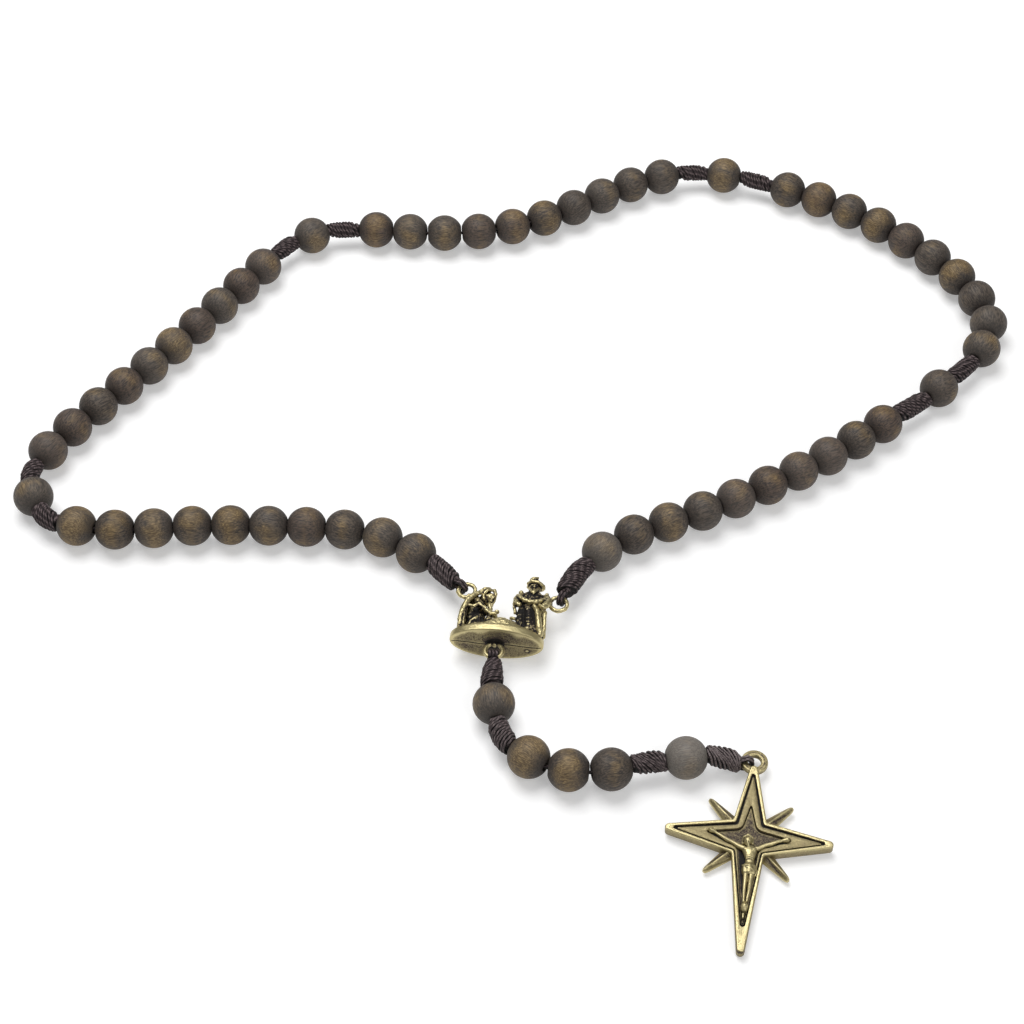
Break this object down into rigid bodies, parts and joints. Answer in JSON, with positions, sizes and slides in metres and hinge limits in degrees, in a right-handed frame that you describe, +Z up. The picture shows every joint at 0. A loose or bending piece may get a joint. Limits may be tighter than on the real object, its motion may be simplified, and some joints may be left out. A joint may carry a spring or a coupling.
{
  "type": "rosary",
  "caption": "Rosary of round wooden beads on knotted cord, with a cast centrepiece of two small figures and a crucifix shaped like a long star.",
  "frame": {"origin": "on the surface the rosary lies on, under the middle of the box round every piece but the cords", "axes": "+Z up from the surface, +Y from the crucifix towards the far side of the loop, +X to the right as seen with the crucifix nearest"},
  "size_m": [0.2078, 0.2053, 0.009],
  "materials": {
    "wood": "matte, fine grain",
    "cord": "waxed twisted cord, wound in barrel knots",
    "antique_brass": "antique, dark in the recesses"
  },
  "bodies": {
    "centrepiece": {"centrepiece": "antique_brass"},
    "loop_cord": {"loop_cord": "cord"},
    "decade_1_bead_01": {"decade_1_bead_01": "wood"},
    "decade_1_bead_02": {"decade_1_bead_02": "wood"},
    "decade_1_bead_03": {"decade_1_bead_03": "wood"},
    "decade_1_bead_04": {"decade_1_bead_04": "wood"},
    "decade_1_bead_05": {"decade_1_bead_05": "wood"},
    "decade_1_bead_06": {"decade_1_bead_06": "wood"},
    "decade_1_bead_07": {"decade_1_bead_07": "wood"},
    "decade_1_bead_08": {"decade_1_bead_08": "wood"},
    "decade_1_bead_09": {"decade_1_bead_09": "wood"},
    "decade_1_bead_10": {"decade_1_bead_10": "wood"},
    "our_father_bead_1": {"our_father_bead_1": "wood"},
    "decade_2_bead_01": {"decade_2_bead_01": "wood"},
    "decade_2_bead_02": {"decade_2_bead_02": "wood"},
    "decade_2_bead_03": {"decade_2_bead_03": "wood"},
    "decade_2_bead_04": {"decade_2_bead_04": "wood"},
    "decade_2_bead_05": {"decade_2_bead_05": "wood"},
    "decade_2_bead_06": {"decade_2_bead_06": "wood"},
    "decade_2_bead_07": {"decade_2_bead_07": "wood"},
    "decade_2_bead_08": {"decade_2_bead_08": "wood"},
    "decade_2_bead_09": {"decade_2_bead_09": "wood"},
    "decade_2_bead_10": {"decade_2_bead_10": "wood"},
    "our_father_bead_2": {"our_father_bead_2": "wood"},
    "decade_3_bead_01": {"decade_3_bead_01": "wood"},
    "decade_3_bead_02": {"decade_3_bead_02": "wood"},
    "decade_3_bead_03": {"decade_3_bead_03": "wood"},
    "decade_3_bead_04": {"decade_3_bead_04": "wood"},
    "decade_3_bead_05": {"decade_3_bead_05": "wood"},
    "decade_3_bead_06": {"decade_3_bead_06": "wood"},
    "decade_3_bead_07": {"decade_3_bead_07": "wood"},
    "decade_3_bead_08": {"decade_3_bead_08": "wood"},
    "decade_3_bead_09": {"decade_3_bead_09": "wood"},
    "decade_3_bead_10": {"decade_3_bead_10": "wood"},
    "our_father_bead_3": {"our_father_bead_3": "wood"},
    "decade_4_bead_01": {"decade_4_bead_01": "wood"},
    "decade_4_bead_02": {"decade_4_bead_02": "wood"},
    "decade_4_bead_03": {"decade_4_bead_03": "wood"},
    "decade_4_bead_04": {"decade_4_bead_04": "wood"},
    "decade_4_bead_05": {"decade_4_bead_05": "wood"},
    "decade_4_bead_06": {"decade_4_bead_06": "wood"},
    "decade_4_bead_07": {"decade_4_bead_07": "wood"},
    "decade_4_bead_08": {"decade_4_bead_08": "wood"},
    "decade_4_bead_09": {"decade_4_bead_09": "wood"},
    "decade_4_bead_10": {"decade_4_bead_10": "wood"},
    "our_father_bead_4": {"our_father_bead_4": "wood"},
    "decade_5_bead_01": {"decade_5_bead_01": "wood"},
    "decade_5_bead_02": {"decade_5_bead_02": "wood"},
    "decade_5_bead_03": {"decade_5_bead_03": "wood"},
    "decade_5_bead_04": {"decade_5_bead_04": "wood"},
    "decade_5_bead_05": {"decade_5_bead_05": "wood"},
    "decade_5_bead_06": {"decade_5_bead_06": "wood"},
    "decade_5_bead_07": {"decade_5_bead_07": "wood"},
    "decade_5_bead_08": {"decade_5_bead_08": "wood"},
    "decade_5_bead_09": {"decade_5_bead_09": "wood"},
    "decade_5_bead_10": {"decade_5_bead_10": "wood"},
    "pendant_cord": {"pendant_cord": "cord"},
    "our_father_bead_5": {"our_father_bead_5": "wood"},
    "our_father_bead_6": {"our_father_bead_6": "wood"},
    "crucifix": {"crucifix": "antique_brass"}
  },
  "joints": [
    {"name": "centrepiece_tilt", "type": "hinge", "parent": "loop_cord", "child": "centrepiece", "pos_m": [-0.01313, -0.02377, 0.0045], "axis": [-0.9882, 0.1534, 0], "range_deg": [0, 40]},
    {"name": "pendant_swing", "type": "hinge", "parent": "centrepiece", "child": "pendant_cord", "pos_m": [-0.00667, -0.03961, 0.0045], "axis": [0, 0, 1], "range_deg": [-60, 20]},
    {"name": "crucifix_swing", "type": "hinge", "parent": "pendant_cord", "child": "crucifix", "pos_m": [0.04127, -0.06341, 0.002], "axis": [0, 0, 1], "range_deg": [-20, 75]},
    {"name": "spin_decade_1_bead_01", "type": "hinge", "parent": "loop_cord", "child": "decade_1_bead_01", "pos_m": [-0.02212, -0.01501, 0.00405], "axis": [-0.7747, 0.632, -0.0203], "continuous": true},
    {"name": "spin_decade_1_bead_02", "type": "hinge", "parent": "loop_cord", "child": "decade_1_bead_02", "pos_m": [-0.02886, -0.01093, 0.00399], "axis": [-0.9212, 0.389, 0.0031], "continuous": true},
    {"name": "spin_decade_1_bead_03", "type": "hinge", "parent": "loop_cord", "child": "decade_1_bead_03", "pos_m": [-0.03646, -0.00888, 0.004], "axis": [-0.9907, 0.1362, 0], "continuous": true},
    {"name": "spin_decade_1_bead_04", "type": "hinge", "parent": "loop_cord", "child": "decade_1_bead_04", "pos_m": [-0.0441, -0.00818, 0.004], "axis": [-0.9988, 0.0484, 0], "continuous": true},
    {"name": "spin_decade_1_bead_05", "type": "hinge", "parent": "loop_cord", "child": "decade_1_bead_05", "pos_m": [-0.05167, -0.00788, 0.004], "axis": [-0.9995, 0.0313, 0], "continuous": true},
    {"name": "spin_decade_1_bead_06", "type": "hinge", "parent": "loop_cord", "child": "decade_1_bead_06", "pos_m": [-0.05925, -0.00773, 0.004], "axis": [-1, 0.0089, 0], "continuous": true},
    {"name": "spin_decade_1_bead_07", "type": "hinge", "parent": "loop_cord", "child": "decade_1_bead_07", "pos_m": [-0.06689, -0.0079, 0.004], "axis": [-0.9985, -0.0544, 0], "continuous": true},
    {"name": "spin_decade_1_bead_08", "type": "hinge", "parent": "loop_cord", "child": "decade_1_bead_08", "pos_m": [-0.07449, -0.00854, 0.004], "axis": [-0.9938, -0.1116, 0], "continuous": true},
    {"name": "spin_decade_1_bead_09", "type": "hinge", "parent": "loop_cord", "child": "decade_1_bead_09", "pos_m": [-0.08221, -0.00891, 0.004], "axis": [-0.9998, 0.0212, 0], "continuous": true},
    {"name": "spin_decade_1_bead_10", "type": "hinge", "parent": "loop_cord", "child": "decade_1_bead_10", "pos_m": [-0.08996, -0.00794, 0.004], "axis": [-0.9743, 0.225, 0], "continuous": true},
    {"name": "spin_our_father_bead_1", "type": "hinge", "parent": "loop_cord", "child": "our_father_bead_1", "pos_m": [-0.09966, -0.00012, 0.004], "axis": [-0.3537, 0.9353, 0], "continuous": true},
    {"name": "spin_decade_2_bead_01", "type": "hinge", "parent": "loop_cord", "child": "decade_2_bead_01", "pos_m": [-0.09843, 0.01244, 0.004], "axis": [0.4809, 0.8767, 0], "continuous": true},
    {"name": "spin_decade_2_bead_02", "type": "hinge", "parent": "loop_cord", "child": "decade_2_bead_02", "pos_m": [-0.09426, 0.01895, 0.004], "axis": [0.5912, 0.8065, 0], "continuous": true},
    {"name": "spin_decade_2_bead_03", "type": "hinge", "parent": "loop_cord", "child": "decade_2_bead_03", "pos_m": [-0.08964, 0.02499, 0.004], "axis": [0.623, 0.7822, 0], "continuous": true},
    {"name": "spin_decade_2_bead_04", "type": "hinge", "parent": "loop_cord", "child": "decade_2_bead_04", "pos_m": [-0.08495, 0.03091, 0.004], "axis": [0.6192, 0.7853, 0], "continuous": true},
    {"name": "spin_decade_2_bead_05", "type": "hinge", "parent": "loop_cord", "child": "decade_2_bead_05", "pos_m": [-0.08028, 0.03685, 0.004], "axis": [0.6166, 0.7873, 0], "continuous": true},
    {"name": "spin_decade_2_bead_06", "type": "hinge", "parent": "loop_cord", "child": "decade_2_bead_06", "pos_m": [-0.07568, 0.0429, 0.004], "axis": [0.5937, 0.8047, 0], "continuous": true},
    {"name": "spin_decade_2_bead_07", "type": "hinge", "parent": "loop_cord", "child": "decade_2_bead_07", "pos_m": [-0.07125, 0.04905, 0.004], "axis": [0.5749, 0.8182, 0], "continuous": true},
    {"name": "spin_decade_2_bead_08", "type": "hinge", "parent": "loop_cord", "child": "decade_2_bead_08", "pos_m": [-0.06694, 0.05528, 0.004], "axis": [0.5637, 0.826, 0], "continuous": true},
    {"name": "spin_decade_2_bead_09", "type": "hinge", "parent": "loop_cord", "child": "decade_2_bead_09", "pos_m": [-0.06271, 0.06154, 0.004], "axis": [0.5567, 0.8307, 0], "continuous": true},
    {"name": "spin_decade_2_bead_10", "type": "hinge", "parent": "loop_cord", "child": "decade_2_bead_10", "pos_m": [-0.05836, 0.06778, 0.004], "axis": [0.5866, 0.8098, 0], "continuous": true},
    {"name": "spin_our_father_bead_2", "type": "hinge", "parent": "loop_cord", "child": "our_father_bead_2", "pos_m": [-0.04813, 0.07801, 0.004], "axis": [0.9148, 0.404, 0], "continuous": true},
    {"name": "spin_decade_3_bead_01", "type": "hinge", "parent": "loop_cord", "child": "decade_3_bead_01", "pos_m": [-0.03375, 0.07993, 0.004], "axis": [0.9995, -0.0332, 0], "continuous": true},
    {"name": "spin_decade_3_bead_02", "type": "hinge", "parent": "loop_cord", "child": "decade_3_bead_02", "pos_m": [-0.02609, 0.07929, 0.004], "axis": [0.9916, -0.1293, 0], "continuous": true},
    {"name": "spin_decade_3_bead_03", "type": "hinge", "parent": "loop_cord", "child": "decade_3_bead_03", "pos_m": [-0.01836, 0.07883, 0.004], "axis": [0.9999, 0.0152, 0], "continuous": true},
    {"name": "spin_decade_3_bead_04", "type": "hinge", "parent": "loop_cord", "child": "decade_3_bead_04", "pos_m": [-0.01068, 0.07938, 0.004], "axis": [0.9919, 0.127, 0], "continuous": true},
    {"name": "spin_decade_3_bead_05", "type": "hinge", "parent": "loop_cord", "child": "decade_3_bead_05", "pos_m": [-0.00308, 0.08101, 0.004], "axis": [0.956, 0.2935, 0], "continuous": true},
    {"name": "spin_decade_3_bead_06", "type": "hinge", "parent": "loop_cord", "child": "decade_3_bead_06", "pos_m": [0.00413, 0.08387, 0.004], "axis": [0.8986, 0.4388, 0], "continuous": true},
    {"name": "spin_decade_3_bead_07", "type": "hinge", "parent": "loop_cord", "child": "decade_3_bead_07", "pos_m": [0.01088, 0.08745, 0.004], "axis": [0.8681, 0.4963, 0], "continuous": true},
    {"name": "spin_decade_3_bead_08", "type": "hinge", "parent": "loop_cord", "child": "decade_3_bead_08", "pos_m": [0.01739, 0.09145, 0.004], "axis": [0.8355, 0.5494, 0], "continuous": true},
    {"name": "spin_decade_3_bead_09", "type": "hinge", "parent": "loop_cord", "child": "decade_3_bead_09", "pos_m": [0.02406, 0.09531, 0.004], "axis": [0.8942, 0.4477, 0], "continuous": true},
    {"name": "spin_decade_3_bead_10", "type": "hinge", "parent": "loop_cord", "child": "decade_3_bead_10", "pos_m": [0.03134, 0.09812, 0.004], "axis": [0.9633, 0.2682, 0], "continuous": true},
    {"name": "spin_our_father_bead_3", "type": "hinge", "parent": "loop_cord", "child": "our_father_bead_3", "pos_m": [0.04573, 0.09863, 0.004], "axis": [0.9754, -0.2205, 0], "continuous": true},
    {"name": "spin_decade_4_bead_01", "type": "hinge", "parent": "loop_cord", "child": "decade_4_bead_01", "pos_m": [0.06004, 0.09359, 0.004], "axis": [0.9107, -0.4131, 0], "continuous": true},
    {"name": "spin_decade_4_bead_02", "type": "hinge", "parent": "loop_cord", "child": "decade_4_bead_02", "pos_m": [0.06689, 0.09017, 0.004], "axis": [0.8771, -0.4803, 0], "continuous": true},
    {"name": "spin_decade_4_bead_03", "type": "hinge", "parent": "loop_cord", "child": "decade_4_bead_03", "pos_m": [0.07344, 0.08614, 0.004], "axis": [0.8248, -0.5654, 0], "continuous": true},
    {"name": "spin_decade_4_bead_04", "type": "hinge", "parent": "loop_cord", "child": "decade_4_bead_04", "pos_m": [0.07956, 0.08147, 0.004], "axis": [0.7628, -0.6466, 0], "continuous": true},
    {"name": "spin_decade_4_bead_05", "type": "hinge", "parent": "loop_cord", "child": "decade_4_bead_05", "pos_m": [0.0852, 0.0763, 0.004], "axis": [0.7106, -0.7036, 0], "continuous": true},
    {"name": "spin_decade_4_bead_06", "type": "hinge", "parent": "loop_cord", "child": "decade_4_bead_06", "pos_m": [0.09045, 0.07074, 0.004], "axis": [0.6603, -0.751, 0], "continuous": true},
    {"name": "spin_decade_4_bead_07", "type": "hinge", "parent": "loop_cord", "child": "decade_4_bead_07", "pos_m": [0.09504, 0.06444, 0.004], "axis": [0.5104, -0.86, 0], "continuous": true},
    {"name": "spin_decade_4_bead_08", "type": "hinge", "parent": "loop_cord", "child": "decade_4_bead_08", "pos_m": [0.09843, 0.05746, 0.004], "axis": [0.361, -0.9325, 0], "continuous": true},
    {"name": "spin_decade_4_bead_09", "type": "hinge", "parent": "loop_cord", "child": "decade_4_bead_09", "pos_m": [0.0999, 0.04966, 0.004], "axis": [-0.0193, -0.9998, 0], "continuous": true},
    {"name": "spin_decade_4_bead_10", "type": "hinge", "parent": "loop_cord", "child": "decade_4_bead_10", "pos_m": [0.09733, 0.04201, 0.004], "axis": [-0.5545, -0.8322, 0], "continuous": true},
    {"name": "spin_our_father_bead_4", "type": "hinge", "parent": "loop_cord", "child": "our_father_bead_4", "pos_m": [0.08671, 0.03021, 0.004], "axis": [-0.7401, -0.6724, 0], "continuous": true},
    {"name": "spin_decade_5_bead_01", "type": "hinge", "parent": "loop_cord", "child": "decade_5_bead_01", "pos_m": [0.07378, 0.01987, 0.004], "axis": [-0.7972, -0.6037, 0], "continuous": true},
    {"name": "spin_decade_5_bead_02", "type": "hinge", "parent": "loop_cord", "child": "decade_5_bead_02", "pos_m": [0.06774, 0.01532, 0.004], "axis": [-0.8003, -0.5996, 0], "continuous": true},
    {"name": "spin_decade_5_bead_03", "type": "hinge", "parent": "loop_cord", "child": "decade_5_bead_03", "pos_m": [0.06155, 0.01089, 0.004], "axis": [-0.8253, -0.5647, 0], "continuous": true},
    {"name": "spin_decade_5_bead_04", "type": "hinge", "parent": "loop_cord", "child": "decade_5_bead_04", "pos_m": [0.05517, 0.00674, 0.004], "axis": [-0.8504, -0.5261, 0], "continuous": true},
    {"name": "spin_decade_5_bead_05", "type": "hinge", "parent": "loop_cord", "child": "decade_5_bead_05", "pos_m": [0.04861, 0.00287, 0.004], "axis": [-0.8725, -0.4886, 0], "continuous": true},
    {"name": "spin_decade_5_bead_06", "type": "hinge", "parent": "loop_cord", "child": "decade_5_bead_06", "pos_m": [0.04189, -0.0007, 0.004], "axis": [-0.8927, -0.4506, 0], "continuous": true},
    {"name": "spin_decade_5_bead_07", "type": "hinge", "parent": "loop_cord", "child": "decade_5_bead_07", "pos_m": [0.03504, -0.004, 0.004], "axis": [-0.9093, -0.4162, 0], "continuous": true},
    {"name": "spin_decade_5_bead_08", "type": "hinge", "parent": "loop_cord", "child": "decade_5_bead_08", "pos_m": [0.02803, -0.007, 0.004], "axis": [-0.9287, -0.371, 0], "continuous": true},
    {"name": "spin_decade_5_bead_09", "type": "hinge", "parent": "loop_cord", "child": "decade_5_bead_09", "pos_m": [0.02104, -0.01019, 0.004], "axis": [-0.8871, -0.4617, 0], "continuous": true},
    {"name": "spin_decade_5_bead_10", "type": "hinge", "parent": "loop_cord", "child": "decade_5_bead_10", "pos_m": [0.01457, -0.01464, 0.00399], "axis": [-0.7433, -0.6689, -0.004], "continuous": true},
    {"name": "spin_our_father_bead_5", "type": "hinge", "parent": "pendant_cord", "child": "our_father_bead_5", "pos_m": [-0.00659, -0.05155, 0.004], "axis": [0.1091, -0.994, 0], "continuous": true},
    {"name": "spin_our_father_bead_6", "type": "hinge", "parent": "pendant_cord", "child": "our_father_bead_6", "pos_m": [0.02859, -0.06376, 0.00404], "axis": [0.9956, 0.0925, 0.0123], "continuous": true}
  ]
}
